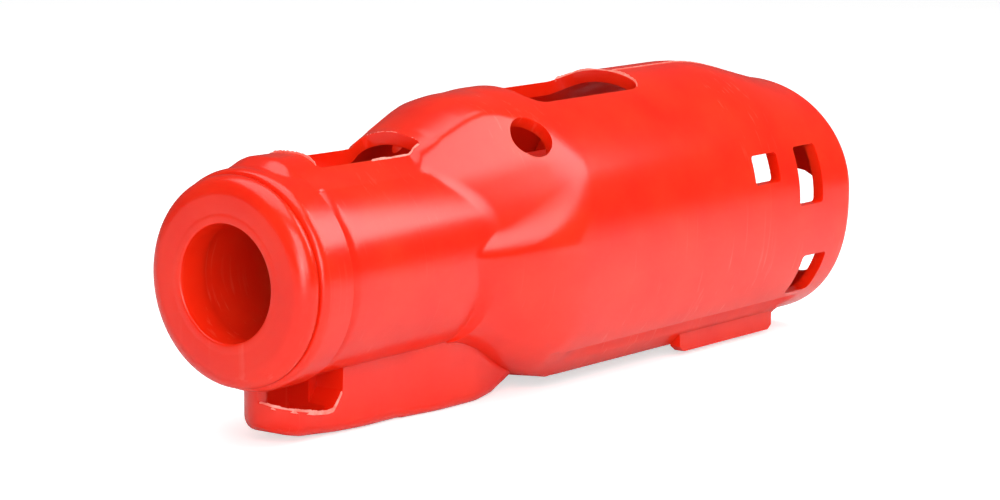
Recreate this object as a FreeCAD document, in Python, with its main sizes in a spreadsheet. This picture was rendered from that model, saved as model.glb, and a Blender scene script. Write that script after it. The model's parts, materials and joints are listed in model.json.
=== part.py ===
"""Hose nozzle with a twist nose and a squeeze valve, inside one moulded plastic casing.

Every piece is drawn in the same way: X runs along the waterway from the front face of the
nose to the hose end, Y is across, and Z is up from the waterway's axis. Each finished piece
is then moved so that the part stands on Z = 0 with the middle of its length at X = 0.
"""
import FreeCAD, Part
import Sketcher
import math
import os

V = FreeCAD.Vector
X_AXIS, Y_AXIS, Z_AXIS = V(1, 0, 0), V(0, 1, 0), V(0, 0, 1)

doc = FreeCAD.newDocument("hose_nozzle")

# ---------------------------------------------------------------- driving dimensions (mm)
SIZES = [
    ("overall_length", 212), ("axis_height", 38), ("soft_gap", 0.3), ("running_gap", 0.05),
    # casing
    ("wall", 3), ("collar_start", 5), ("collar_length", 9.4), ("collar_radius", 25.1),
    ("neck_radius", 24), ("shoulder_start", 54), ("shoulder_length", 40),
    ("body_half_width", 31.5), ("body_top", 35.9), ("body_bottom", 34.5), ("tail_length", 35), ("tail_drop", 5.5),
    ("saddle_half_width", 12), ("saddle_height", 26.4), ("saddle_ramp", 27),
    ("keel_half_width", 9), ("keel_start", 8.7), ("keel_length", 79),
    ("scoop_start", 12), ("scoop_length", 17), ("scoop_rim", -31.4), ("rail_gap", 27), ("underside_start", 98), ("underside_length", 97),
    ("skirt_start", 150), ("skirt_length", 40),
    ("neck_slot_start", 21.5), ("neck_slot_length", 36.5), ("neck_slot_width", 17),
    ("top_window_start", 88), ("top_window_length", 52), ("top_window_width", 27),
    ("rear_notch_radius", 15.5), ("rear_slot_width", 46), ("rear_slot_height", 28),
    # nose ring, jet tube and discs
    ("nose_length", 4.7), ("nose_radius", 24), ("nose_edge_round", 3.5), ("bore_radius", 13.4),
    ("hub_length", 3.3), ("hub_radius", 16.4), ("tube_bore_radius", 14.2), ("tube_radius", 17),
    ("tube_length", 33), ("flange_radius", 20), ("flange_thickness", 3),
    ("shutter_thickness", 2), ("swirl_thickness", 6), ("jet_radius", 6), ("port_radius", 2.2),
    ("port_circle", 10.6), ("port_count", 6), ("port_slant", 20), ("twist_angle", 30),
    ("stop_pin_radius", 0.8), ("lock_screw_radius", 1.5), ("stop_circle", 18.5),
    # barrel and valve
    ("barrel_collar_radius", 21.8), ("barrel_radius", 20.7), ("barrel_length", 50.4),
    ("spigot_radius", 14.55), ("spigot_length", 10.6),
    ("valve_radius", 17.5), ("valve_length", 78), ("guide_radius", 10),
    ("spring_room", 20), ("slide_radius", 12.6), ("slide_bore_radius", 8.4), ("slide_travel", 3.84),
    ("chamber_radius", 14.6), ("chamber_length", 12), ("socket_radius", 15.5), ("socket_depth", 10),
    ("washer_thickness", 2.5), ("washer_radius", 11.8), ("plug_radius", 12),
    ("spring_wire", 1.6), ("spring_turns", 7), ("seal_section", 1.7), ("seal_groove", 2.4),
    # trigger
    ("hinge_x", 96), ("hinge_drop", 22), ("hinge_pin_radius", 2), ("drive_pin_radius", 1.5),
    ("arm_thickness", 1.8), ("trigger_reach", 70), ("trigger_width", 24), ("trigger_drop", 9.5),
    # hose end
    ("coupling_length", 44), ("coupling_radius", 15), ("coupling_bore_radius", 10.5),
    ("thread_radius", 12.1), ("thread_length", 17), ("gasket_thickness", 2.5), ("gasket_pocket", 0.6),
    ("pocket_length", 4.5), ("strainer_thickness", 1), ("bracket_start", 146), ("bracket_thickness", 8),
]


class Dim:
    """A size that carries both its number and the sheet expression that gives it."""

    def __init__(self, value, text):
        self.value = float(value)
        self.text = text

    def join(self, sign, other, value):
        return Dim(value, "(%s %s %s)" % (self.text, sign, other.text))

    def __add__(self, other):
        other = dim(other)
        return self.join("+", other, self.value + other.value)

    def __sub__(self, other):
        other = dim(other)
        return self.join("-", other, self.value - other.value)

    def __mul__(self, other):
        other = dim(other)
        return self.join("*", other, self.value * other.value)

    def __truediv__(self, other):
        other = dim(other)
        return self.join("/", other, self.value / other.value)

    def __neg__(self):
        return dim(0) - self

    __radd__ = __add__

    def __rsub__(self, other):
        return dim(other) - self

    def __rmul__(self, other):
        return dim(other) * self


def dim(value):
    """A plain number becomes a Dim whose expression is the number itself."""
    return value if isinstance(value, Dim) else Dim(value, repr(float(value)))


class Sizes:
    """The sheet's values by name, so that size.wall reads like the cell it comes from."""


sheet = doc.addObject("Spreadsheet::Sheet", "Sizes")
size = Sizes()
for row, (alias, number) in enumerate(SIZES, start=1):
    sheet.set("A%d" % row, alias)
    sheet.set("B%d" % row, str(number))
    sheet.setAlias("B%d" % row, alias)
    setattr(size, alias, Dim(number, "Sizes." + alias))
doc.recompute()

finished = []
PRIMITIVES = ("Part::Cylinder", "Part::Torus", "Part::Box", "Part::Feature")


# ---------------------------------------------------------------- helpers
def bind(thing, prop, value):
    """Set a property to a Dim and tie it to the sheet."""
    thing.setExpression(prop, dim(value).text)


def finish(thing, label):
    """Name a finished piece and move it into the part's frame.

    A primitive or a made shape has a place of its own, so a compound holds it, and that moves."""
    if thing.TypeId in PRIMITIVES:
        thing = feature("Part::Compound", "placed", Links=[thing])
    thing.Label = label
    bind(thing, "Placement.Base.x", -size.overall_length / 2)
    bind(thing, "Placement.Base.z", size.axis_height)
    finished.append(thing)
    return thing


def feature(kind, name, **links):
    """A Part object with its links and plain properties set."""
    thing = doc.addObject(kind, name)
    for prop, value in links.items():
        setattr(thing, prop, value)
    return thing


def cut(base, tool, name="cut"):
    return feature("Part::Cut", name, Base=base, Tool=tool)


def join(parts, name="joined"):
    return feature("Part::MultiFuse", name, Shapes=parts)


def box(x, y, z, length, width, height):
    """A box from its low corner and its three sides."""
    thing = feature("Part::Box", "box")
    for prop, value in (("Length", length), ("Width", width), ("Height", height),
                        ("Placement.Base.x", x), ("Placement.Base.y", y), ("Placement.Base.z", z)):
        bind(thing, prop, value)
    return thing


TURNS = {
    "x": FreeCAD.Rotation(Y_AXIS, 90),
    "y": FreeCAD.Rotation(X_AXIS, -90),
    "z": FreeCAD.Rotation(),
}


def rod(axis, start, radius, length, angle=360):
    """A cylinder from its start point along one axis, or a slice of one."""
    thing = feature("Part::Cylinder", "rod", Placement=FreeCAD.Placement(V(), TURNS[axis]))
    bind(thing, "Radius", radius)
    bind(thing, "Height", length)
    bind(thing, "Angle", angle)
    for letter, value in zip("xyz", start):
        bind(thing, "Placement.Base." + letter, value)
    return thing


def leaning_rod(place, direction, radius, length):
    """A cylinder that starts at a point and runs along any direction."""
    thing = feature("Part::Cylinder", "leaning_rod",
                    Placement=FreeCAD.Placement(place, FreeCAD.Rotation(Z_AXIS, direction)))
    bind(thing, "Radius", radius)
    bind(thing, "Height", length)
    return thing


def outward(degrees):
    """The direction away from the waterway at an angle from straight up."""
    turn = math.radians(degrees)
    return V(0, math.sin(turn), math.cos(turn))


def seal(x, inside_radius):
    """An O-ring round the waterway, from the bottom radius of its groove."""
    thing = feature("Part::Torus", "seal_ring", Placement=FreeCAD.Placement(V(), TURNS["x"]))
    bind(thing, "Radius1", inside_radius + size.seal_section / 2 + 0.01)
    bind(thing, "Radius2", size.seal_section / 2 - 0.02)
    bind(thing, "Placement.Base.x", x)
    return thing


def origin_plane(body, role):
    return [item for item in body.Origin.OriginFeatures if item.Role == role][0]


def sketch_on(body, role, offset=0):
    """An empty sketch on one of the body's own planes, moved along that plane's normal."""
    sketch = body.newObject("Sketcher::SketchObject", "outline")
    sketch.AttachmentSupport = [(origin_plane(body, role), "")]
    sketch.MapMode = "FlatFace"
    bind(sketch, "AttachmentOffset.Base.z", offset)
    return sketch


def hold(sketch, kind, item, point, value):
    """Tie one coordinate of a sketch point to the sheet."""
    value = dim(value)
    index = sketch.addConstraint(Sketcher.Constraint(kind, -1, 1, item, point, value.value))
    sketch.setExpression("Constraints[%d]" % index, value.text)


def polygon(sketch, corners):
    """Add a closed outline through corners, each coordinate tied to the sheet."""
    corners = [(dim(a), dim(b)) for a, b in corners]
    first = sketch.GeometryCount
    count = len(corners)
    for start, end in zip(corners, corners[1:] + corners[:1]):
        line = Part.LineSegment(V(start[0].value, start[1].value, 0), V(end[0].value, end[1].value, 0))
        sketch.addGeometry(line, False)
    for i in range(count):
        sketch.addConstraint(Sketcher.Constraint("Coincident", first + i, 2, first + (i + 1) % count, 1))
    for i, (across, up) in enumerate(corners):
        hold(sketch, "DistanceX", first + i, 1, across)
        hold(sketch, "DistanceY", first + i, 1, up)


def circle(sketch, across, up, radius):
    """Add a circle whose centre and radius are tied to the sheet."""
    across, up, radius = dim(across), dim(up), dim(radius)
    item = sketch.addGeometry(Part.Circle(V(across.value, up.value, 0), Z_AXIS, radius.value), False)
    hold(sketch, "DistanceX", item, 3, across)
    hold(sketch, "DistanceY", item, 3, up)
    index = sketch.addConstraint(Sketcher.Constraint("Radius", item, radius.value))
    sketch.setExpression("Constraints[%d]" % index, radius.text)


def turned(name, corners):
    """A body turned about the waterway from an outline of (x, radius) corners."""
    body = doc.addObject("PartDesign::Body", name)
    sketch = sketch_on(body, "XZ_Plane")
    polygon(sketch, corners)
    turn = body.newObject("PartDesign::Revolution", "turn")
    turn.Profile = sketch
    turn.ReferenceAxis = (sketch, ["H_Axis"])
    turn.Angle = 360
    doc.recompute()
    return body


def round_edges(body, radius, chosen):
    """Round the edges of a body's newest shape that the test function picks."""
    before = body.Tip
    names = ["Edge%d" % (i + 1) for i, edge in enumerate(body.Shape.Edges) if chosen(edge)]
    fillet = body.newObject("PartDesign::Fillet", "round")
    fillet.Base = (before, names)
    bind(fillet, "Radius", radius)
    doc.recompute()


def disc(name, start, thickness, radius, bore, rings):
    """A round plate across the waterway with rings of holes: (pitch radius, hole radius, count)."""
    body = doc.addObject("PartDesign::Body", name)
    face = sketch_on(body, "YZ_Plane", start)
    circle(face, 0, 0, radius)
    circle(face, 0, 0, bore)
    plate = body.newObject("PartDesign::Pad", "plate")
    plate.Profile = face
    bind(plate, "Length", thickness)
    doc.recompute()
    for pitch, hole, count in rings:
        drill = sketch_on(body, "YZ_Plane", start)
        circle(drill, 0, pitch, hole)
        pocket = body.newObject("PartDesign::Pocket", "hole")
        pocket.Profile = drill
        pocket.Type = 1
        pocket.Midplane = True
        pattern = body.newObject("PartDesign::PolarPattern", "holes")
        pattern.Originals = [pocket]
        pattern.Axis = (origin_axis(body, "X_Axis"), [""])
        pattern.Angle = 360
        pattern.Occurrences = int(dim(count).value)
        body.Tip = pattern
        doc.recompute()
    return body


def origin_axis(body, role):
    return [item for item in body.Origin.OriginFeatures if item.Role == role][0]


# ---------------------------------------------------------------- stations along the waterway
tube_start = size.nose_length + 0.5
hub_end = size.nose_length + size.hub_length
flange_start = tube_start + 2
tube_end = tube_start + size.tube_length
swirl_start = tube_end + 0.4
swirl_end = swirl_start + size.swirl_thickness
barrel_start = size.collar_start + 0.6
barrel_end = barrel_start + size.barrel_length
valve_end = barrel_end + size.valve_length
spring_start = barrel_end + 6
slide_start = spring_start - 2
slide_shoulder = spring_start + size.spring_room
socket_start = valve_end - size.socket_depth
chamber_start = socket_start - size.chamber_length
slide_end = chamber_start - 1
washer_start = slide_end + size.running_gap
plug_start = washer_start + size.washer_thickness
plug_ring_end = socket_start + 4
coupling_end = plug_ring_end + size.coupling_length
thread_start = coupling_end - size.thread_length
pocket_start = thread_start - size.pocket_length
pocket_radius = size.thread_radius + size.gasket_pocket
arm_inside = size.valve_radius + size.soft_gap
arm_outside = arm_inside + size.arm_thickness


# ---------------------------------------------------------------- casing
def blend_up(x, start, end):
    """0 before start, 1 after end, and a smooth step between them."""
    share = min(max((x - start) / (end - start), 0.0), 1.0)
    return share * share * (3 - 2 * share)


def bulge(x, start, end):
    """0 at start, rising steeply at first and levelling off to 1 at end."""
    share = min(max((end - x) / (end - start), 0.0), 1.0)
    return 1 - share * share


def skin_radius(x, angle, inset):
    """Distance from the axis to the casing's body at one station and angle from straight up."""
    root = size.neck_radius.value - 2
    start = size.shoulder_start.value
    end = start + size.shoulder_length.value
    length = size.overall_length.value
    tail = length - size.tail_length.value
    tail_round = 1 - 0.1 * max((x - length + 12) / 12, 0.0) ** 3
    half_width = root + (size.body_half_width.value - root) * bulge(x, start, end)
    top = root + (size.body_top.value - root) * bulge(x, start, end)
    top -= size.tail_drop.value * blend_up(x, tail, length)
    bottom = root + (size.body_bottom.value - root) * blend_up(x, start, end)
    across = abs(math.sin(angle)) / (half_width * tail_round - inset)
    up = math.cos(angle)
    if up >= 0:
        upward = up / (top * tail_round - inset)
        return (across ** 2 + upward ** 2) ** -0.5
    downward = -up / (bottom * tail_round - inset)
    return (across ** 2.4 + downward ** 2.4) ** (-1 / 2.4)


SKIN_POINTS = 36


def skin_section(x, inset):
    """One closed smooth section of the casing's body, inset by a wall or not."""
    points = []
    for i in range(SKIN_POINTS):
        angle = 2 * math.pi * i / SKIN_POINTS
        radius = skin_radius(x, angle, inset)
        points.append(V(x, radius * math.sin(angle), radius * math.cos(angle)))
    curve = Part.BSplineCurve()
    curve.interpolate(Points=points, PeriodicFlag=True)
    return Part.Wire(curve.toShape())


def skin_solid(stations, inset):
    """A smooth solid through the sections at some stations."""
    return Part.makeLoft([skin_section(x, inset) for x in stations], True, False)


def bar(x0, x1, y0, y1, z0, z1):
    """A box between two corners."""
    return Part.makeBox(x1 - x0, y1 - y0, z1 - z0, V(x0, y0, z0))


def along(x0, x1, radius):
    return Part.makeCylinder(radius, x1 - x0, V(x0, 0, 0), X_AXIS)


def side_plate(corners, half_width):
    """A plate from an outline in the XZ plane, as wide on one side as on the other."""
    points = [V(x, -half_width, z) for x, z in corners]
    face = Part.Face(Part.makePolygon(points + points[:1]))
    return face.extrude(V(0, 2 * half_width, 0))


def rounded_bar(x0, x1, y0, y1, z0, z1, direction, corner):
    """A box whose edges along one direction are rounded, for cutting windows."""
    block = bar(x0, x1, y0, y1, z0, z1)
    edges = [e for e in block.Edges if abs(e.tangentAt(e.FirstParameter).dot(direction)) > 0.9]
    return block.makeFillet(corner, edges)


def make_casing():
    wall = size.wall.value
    length = size.overall_length.value
    floor = -size.axis_height.value
    start = size.shoulder_start.value
    end = start + size.shoulder_length.value
    collar_start = size.collar_start.value
    collar_end = collar_start + size.collar_length.value
    neck = size.neck_radius.value

    steps = [0, 0.12, 0.25, 0.4, 0.55, 0.7, 0.85, 0.95, 1.0]
    shoulder = [start + share * (end - start) for share in steps]
    tail_start = length - size.tail_length.value
    tail = [tail_start + share * (length - tail_start) for share in (0, 0.2, 0.4, 0.6, 0.75, 0.9, 1)]
    outside = [skin_solid(shoulder, 0), skin_solid([end, tail_start], 0), skin_solid(tail, 0)]
    inside_tail = [x for x in tail if x < length - wall] + [length - wall]
    inside = [skin_solid([start + 2] + shoulder[1:], wall), skin_solid([end, tail_start], wall),
              skin_solid(inside_tail, wall)]

    # neck with its collar, and the raised saddle that ramps up on to the body
    skin = along(collar_start, end, neck)
    skin = skin.fuse(along(collar_start, collar_end, size.collar_radius.value))
    ridge = size.saddle_height.value
    ramp_end = start - 3.4 + size.saddle_ramp.value
    saddle = side_plate([(collar_start, 15), (collar_start, neck + 0.5), (collar_end, ridge),
                         (start - 3.4, ridge), (ramp_end, size.body_top.value - 0.4),
                         (end, size.body_top.value - 0.3), (end, 15)], size.saddle_half_width.value)

    # keel under the neck: a round-fronted box with an opening in one side of its front
    keel_half = size.keel_half_width.value
    keel_start = size.keel_start.value
    keel_end = keel_start + size.keel_length.value
    plan = bar(keel_start + keel_half, keel_end, -keel_half, keel_half, floor, -15)
    plan = plan.fuse(Part.makeCylinder(keel_half, -15 - floor, V(keel_start + keel_half, 0, floor)))
    keel_side = side_plate([(keel_start, floor + 7), (keel_start + 2.5, floor + 3.5),
                            (keel_start + 8, floor + 1.4), (keel_start + 22, floor),
                            (keel_end - 22, floor), (keel_end, floor + 7), (keel_end, -15),
                            (keel_start, -15)], keel_half)
    keel = plan.common(keel_side)
    scoop_start = size.scoop_start.value
    scoop_end = scoop_start + size.scoop_length.value
    rim = size.scoop_rim.value
    scoop_side = side_plate([(scoop_start, -size.collar_radius.value - 0.2), (scoop_start, rim + 3.2),
                             (scoop_start + 3.5, rim + 1.4), (scoop_start + 9, rim), (scoop_end - 3.5, rim),
                             (scoop_end, -size.collar_radius.value - 0.2)], keel_half + 1)
    near_side = bar(keel_start, scoop_end, -keel_half - 1, -0.6, floor, -neck)
    scoop_side = scoop_side.common(near_side)

    skirts = []
    rail = size.rail_gap.value / 2
    for side in (-1, 1):
        low, high = sorted((side * rail, side * (rail + wall)))
        x0 = size.skirt_start.value
        skirts.append(bar(x0, x0 + size.skirt_length.value, low, high, floor, floor + 8))
    skin = skin.fuse(outside + [saddle, keel] + skirts)

    # hollows
    hollow = inside + [along(collar_start - 1, collar_end, size.collar_radius.value - wall)]
    hollow.append(along(collar_start - 1, end, neck - wall))
    inner_half = keel_half - wall
    scoop_room = bar(keel_start + keel_half, scoop_end, -inner_half, inner_half, floor + wall, -neck)
    nib = Part.makeCylinder(inner_half, -neck - floor - wall, V(keel_start + keel_half, 0, floor + wall))
    hollow += [scoop_side, scoop_room, nib]
    hollow.append(bar(scoop_end + wall, keel_end - wall - 4, -inner_half, inner_half, floor + wall, -15))

    # openings: two along the top, one underneath, and the windows on both sides
    x0 = size.neck_slot_start.value
    x1 = x0 + size.neck_slot_length.value
    half = size.neck_slot_width.value / 2
    hollow.append(bar(x0, x1, -half, half, 15, 60))
    x0 = size.top_window_start.value
    x1 = x0 + size.top_window_length.value
    half = size.top_window_width.value / 2
    hollow.append(rounded_bar(x0, x1, -half, half, 15, 60, Z_AXIS, 5))
    x0 = size.underside_start.value
    x1 = x0 + size.underside_length.value
    hollow.append(rounded_bar(x0, x1, -rail, rail, floor - 5, -20, Z_AXIS, 5))
    for side in (-1, 1):
        low, high = sorted((side * 15, side * 45))
        hollow.append(rounded_bar(length - 47, length - 35.5, low, high, 6, 13.5, Y_AXIS, 1))
        hollow.append(rounded_bar(length - 27, length - 16, low, high, -1.5, 13.8, Y_AXIS, 1))
        hollow.append(rounded_bar(length - 22, length - 11, low, high, -26, -15.4, Y_AXIS, 1))
        hollow.append(Part.makeCylinder(6.5, 30, V(start + 31, side * 13, 17), V(0, side * 19, 25)))

    # open rear end: a round notch for the hose over a wide slot
    half = size.rear_slot_width.value / 2
    slot_top = 4.6
    slot_floor = slot_top - size.rear_slot_height.value
    hollow.append(along(length - 14, length + 5, size.rear_notch_radius.value))
    hollow.append(rounded_bar(length - 14, length + 5, -half, half, slot_floor, slot_top, X_AXIS, 8))
    for tool in hollow:
        skin = skin.cut(tool)
    return skin


casing = doc.addObject("Part::Feature", "casing_shell")
casing.Shape = make_casing()
finish(casing, "casing")

# ---------------------------------------------------------------- twist nose and jet tube
nose = turned("nose_body", [
    (0, size.bore_radius), (0, size.nose_radius), (size.nose_length, size.nose_radius),
    (size.nose_length, size.hub_radius), (hub_end, size.hub_radius), (hub_end, size.bore_radius),
])
round_edges(nose, size.nose_edge_round,
            lambda e: e.BoundBox.XMax < 0.01 and e.BoundBox.YMax > size.nose_radius.value - 0.1)
finish(nose, "nose_ring")

groove = size.seal_section
tube_seal = tube_end - 8
tube = turned("tube_blank", [
    (tube_start, size.hub_radius), (hub_end, size.hub_radius), (hub_end, size.tube_bore_radius),
    (tube_end - size.shutter_thickness, size.tube_bore_radius),
    (tube_end - size.shutter_thickness, size.tube_radius - 1.2), (tube_end, size.tube_radius - 1.2),
    (tube_end, size.tube_radius), (tube_seal + size.seal_groove / 2, size.tube_radius),
    (tube_seal + size.seal_groove / 2, size.tube_radius - groove),
    (tube_seal - size.seal_groove / 2, size.tube_radius - groove),
    (tube_seal - size.seal_groove / 2, size.tube_radius),
    (flange_start + size.flange_thickness, size.tube_radius),
    (flange_start + size.flange_thickness, size.flange_radius), (flange_start, size.flange_radius),
    (flange_start, size.flange_radius - 1.7), (tube_start, size.flange_radius - 1.7),
])
slot_gap = size.stop_pin_radius + 0.2
stop_sweep = size.twist_angle + 6.5
ring_outer = rod("x", (flange_start - 1, 0, 0), size.stop_circle + slot_gap, size.flange_thickness + 2,
                 stop_sweep)
ring_inner = rod("x", (flange_start - 2, 0, 0), size.stop_circle - slot_gap, size.flange_thickness + 4)
finish(cut(tube, cut(ring_outer, ring_inner, "stop_slot"), "jet_tube_cut"), "jet_tube")

finish(seal(tube_seal, size.tube_radius - groove), "jet_tube_seal")

shutter = disc("shutter", tube_end - size.shutter_thickness, size.shutter_thickness,
               size.tube_radius - 1.25, size.jet_radius, [(size.port_circle, size.port_radius, size.port_count)])
finish(shutter, "shutter_disc")


def slanted_port(index):
    """One port through the swirl disc, leaning sideways so that the water leaves it spinning."""
    out = outward(360 * (index + 0.5) / size.port_count.value)
    lean = math.radians(size.port_slant.value)
    direction = X_AXIS * math.cos(lean) + X_AXIS.cross(out) * math.sin(lean)
    mouth = X_AXIS * swirl_start.value + out * size.port_circle.value
    reach = 2 * size.swirl_thickness
    return leaning_rod(mouth - direction * reach.value, direction, size.port_radius, 2 * reach)


swirl = turned("swirl_blank", [
    (swirl_start, size.jet_radius), (swirl_start, size.tube_radius - 0.05),
    (swirl_end, size.tube_radius - 0.05), (swirl_end, size.jet_radius + 2),
])
ports = join([slanted_port(i) for i in range(int(size.port_count.value))], "ports")
finish(cut(swirl, ports, "swirl_cut"), "swirl_disc")

# ---------------------------------------------------------------- barrel
tube_room = size.tube_radius + size.running_gap
mouth_radius = size.flange_radius + size.soft_gap
clip_start = barrel_start + 0.35
clip_room = 1.0
flange_end = flange_start + size.flange_thickness
spigot_room = size.spigot_radius + size.running_gap
barrel = turned("barrel_blank", [
    (barrel_start, mouth_radius), (clip_start, mouth_radius), (clip_start, mouth_radius + 0.6),
    (clip_start + clip_room, mouth_radius + 0.6), (clip_start + clip_room, mouth_radius),
    (flange_end + size.soft_gap, mouth_radius), (flange_end + size.soft_gap, tube_room),
    (swirl_end, tube_room), (swirl_end, spigot_room), (barrel_end, spigot_room),
    (barrel_end, size.barrel_radius),
    (size.collar_start + size.collar_length - 0.4, size.barrel_radius),
    (size.collar_start + size.collar_length - 0.4, size.barrel_collar_radius),
    (barrel_start, size.barrel_collar_radius),
])
stop_turn = math.radians((stop_sweep - 3.25).value)
stop_place = (flange_start + 0.4, size.stop_circle * math.sin(stop_turn),
              -size.stop_circle * math.cos(stop_turn))
stop_length = size.flange_thickness + 2.6
stop_hole = rod("x", stop_place, size.stop_pin_radius, stop_length)
LOCK_ANGLES = (60, 180, 300)


def lock_rod(degrees, start, length):
    """A radial rod near the barrel's rear end: a grub screw, or the hole that it sits in."""
    out = outward(degrees)
    place = X_AXIS * (barrel_end - 3).value + out * start.value
    return leaning_rod(place, out, size.lock_screw_radius, length)


lock_holes = [lock_rod(angle, spigot_room - 2, 12) for angle in LOCK_ANGLES]
holes = join([stop_hole] + lock_holes, "barrel_holes")
finish(cut(barrel, holes, "barrel_cut"), "barrel")
finish(rod("x", stop_place, size.stop_pin_radius, stop_length), "stop_pin")
lock_length = size.barrel_radius - spigot_room - 0.4
lock_screws = [lock_rod(angle, spigot_room, lock_length) for angle in LOCK_ANGLES]
finish(feature("Part::Compound", "screws", Links=lock_screws), "lock_screws")

clip_outer = rod("x", (clip_start + 0.05, 0, 0), mouth_radius + 0.55, clip_room - 0.1, 330)
clip_inner = rod("x", (clip_start - 1, 0, 0), size.flange_radius - 1.4, clip_room + 2)
finish(cut(clip_outer, clip_inner, "clip_cut"), "front_circlip")

# ---------------------------------------------------------------- valve body
spigot_start = barrel_end - size.spigot_length
spigot_seal = spigot_start + 3
valve_bore = size.slide_radius + size.running_gap
valve = turned("valve_blank", [
    (spigot_start, size.guide_radius + size.running_gap),
    (spring_start, size.guide_radius + size.running_gap), (spring_start, valve_bore),
    (chamber_start, valve_bore), (chamber_start, size.chamber_radius),
    (socket_start, size.chamber_radius), (socket_start, size.socket_radius),
    (valve_end, size.socket_radius), (valve_end, size.valve_radius), (barrel_end, size.valve_radius),
    (barrel_end, size.spigot_radius), (spigot_seal + size.seal_groove / 2, size.spigot_radius),
    (spigot_seal + size.seal_groove / 2, size.spigot_radius - groove),
    (spigot_seal - size.seal_groove / 2, size.spigot_radius - groove),
    (spigot_seal - size.seal_groove / 2, size.spigot_radius), (spigot_start, size.spigot_radius),
])
ear_half = 3.6
ear_depth = size.hinge_drop + 3.6
ears = []
for side in (-1, 1):
    ear_low = -size.valve_radius if side < 0 else size.valve_radius - 3
    ears.append(box(size.hinge_x - ear_half, ear_low, -ear_depth, 2 * dim(ear_half), 3, ear_depth - 8))
hinge_hole = rod("y", (size.hinge_x, -30, -size.hinge_drop), size.hinge_pin_radius, 60)
pin_room = size.drive_pin_radius + size.soft_gap
pin_slots = []
for side in (-1, 1):
    slot_low = -size.valve_radius - 2 if side < 0 else size.slide_radius - 2
    pin_slots.append(box(size.hinge_x - size.slide_travel - pin_room, slot_low, -pin_room,
                         size.slide_travel + 2 * pin_room, 8, 2 * pin_room))
valve_cuts = join([hinge_hole] + pin_slots, "valve_cuts")
finish(cut(join([valve] + ears, "valve_with_ears"), valve_cuts, "valve_cut"), "valve_body")
finish(seal(spigot_seal, size.spigot_radius - groove), "barrel_seal")

# ---------------------------------------------------------------- sliding valve tube
slide_seals = (slide_shoulder + 4, slide_end - 5)
outline = [
    (slide_start, size.slide_bore_radius), (slide_start, size.guide_radius),
    (slide_shoulder, size.guide_radius), (slide_shoulder, size.slide_radius),
]
for place in slide_seals:
    outline += [(place - size.seal_groove / 2, size.slide_radius),
                (place - size.seal_groove / 2, size.slide_radius - groove),
                (place + size.seal_groove / 2, size.slide_radius - groove),
                (place + size.seal_groove / 2, size.slide_radius)]
outline += [(slide_end - 2, size.slide_radius), (slide_end, size.slide_bore_radius + 2.2),
            (slide_end, size.slide_bore_radius)]
slide = turned("slide_blank", outline)
pin_seat = size.slide_bore_radius + 1
pin_holes = [rod("y", (size.hinge_x, pin_seat if side > 0 else -pin_seat - 8, 0), size.drive_pin_radius, 8)
             for side in (-1, 1)]
finish(cut(slide, join(pin_holes, "pin_holes"), "slide_cut"), "slide_tube")
rings = [seal(place, size.slide_radius - groove) for place in slide_seals]
finish(feature("Part::Compound", "rings", Links=rings), "slide_seals")

pin_length = arm_outside - pin_seat
pins = [rod("y", (size.hinge_x, pin_seat if side > 0 else -arm_outside, 0), size.drive_pin_radius,
            pin_length) for side in (-1, 1)]
finish(feature("Part::Compound", "pins", Links=pins), "drive_pins")


def make_spring():
    """A round wire wound between the valve body's shoulder and the sliding tube's."""
    wire = size.spring_wire.value / 2
    room = size.spring_room.value
    radius = (size.guide_radius.value + size.slide_radius.value) / 2
    free = room - 2 * wire - 0.3
    helix = Part.makeLongHelix(free / size.spring_turns.value, free, radius)
    section = Part.Wire(Part.makeCircle(wire, V(radius, 0, 0), Y_AXIS))
    coil = Part.Wire(helix.Edges).makePipeShell([section], True, True)
    coil.rotate(V(), Y_AXIS, 90)
    coil.translate(V(spring_start.value + wire + 0.15, 0, 0))
    return coil


spring = doc.addObject("Part::Feature", "spring")
spring.Shape = make_spring()
finish(spring, "return_spring")

# ---------------------------------------------------------------- seat
screw_radius = dim(2)
plug_end = plug_ring_end - 1
plug_core = turned("plug_core", [
    (plug_start, screw_radius), (plug_start, size.plug_radius), (plug_start + 4.4, size.plug_radius),
    (plug_end, 3), (plug_end, 0), (plug_start + 7.5, 0), (plug_start + 7.5, screw_radius),
])
plug_ring = turned("plug_ring", [
    (socket_start + 0.1, size.chamber_radius - 1.2), (socket_start + 0.1, size.socket_radius - 0.05),
    (plug_ring_end - 0.05, size.socket_radius - 0.05), (plug_ring_end - 0.05, size.chamber_radius - 1.2),
])
legs = []
for i in range(3):
    leg = box(plug_start + 5, -1.2, 2.5, plug_ring_end - plug_start - 5.2, 2.4, size.chamber_radius - 3.3)
    turned_leg = feature("Part::Compound", "leg", Links=[leg],
                         Placement=FreeCAD.Placement(V(), FreeCAD.Rotation(X_AXIS, 120 * i)))
    legs.append(turned_leg)
finish(join([plug_core, plug_ring] + legs, "plug_joined"), "seat_plug")
finish(turned("washer", [
    (washer_start, screw_radius + 0.05), (washer_start, size.washer_radius),
    (plug_start, size.washer_radius), (plug_start, screw_radius + 0.05),
]), "seat_washer")
screw_head = rod("x", (washer_start - 2.2, 0, 0), 3.6, 2.2)
screw_shank = rod("x", (washer_start - 1, 0, 0), screw_radius, 1 + size.washer_thickness + 7)
driver_slot = box(washer_start - 3, -0.5, -5, 1.9, 1, 10)
finish(cut(join([screw_head, screw_shank], "screw_joined"), driver_slot, "screw_cut"), "seat_screw")

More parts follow.
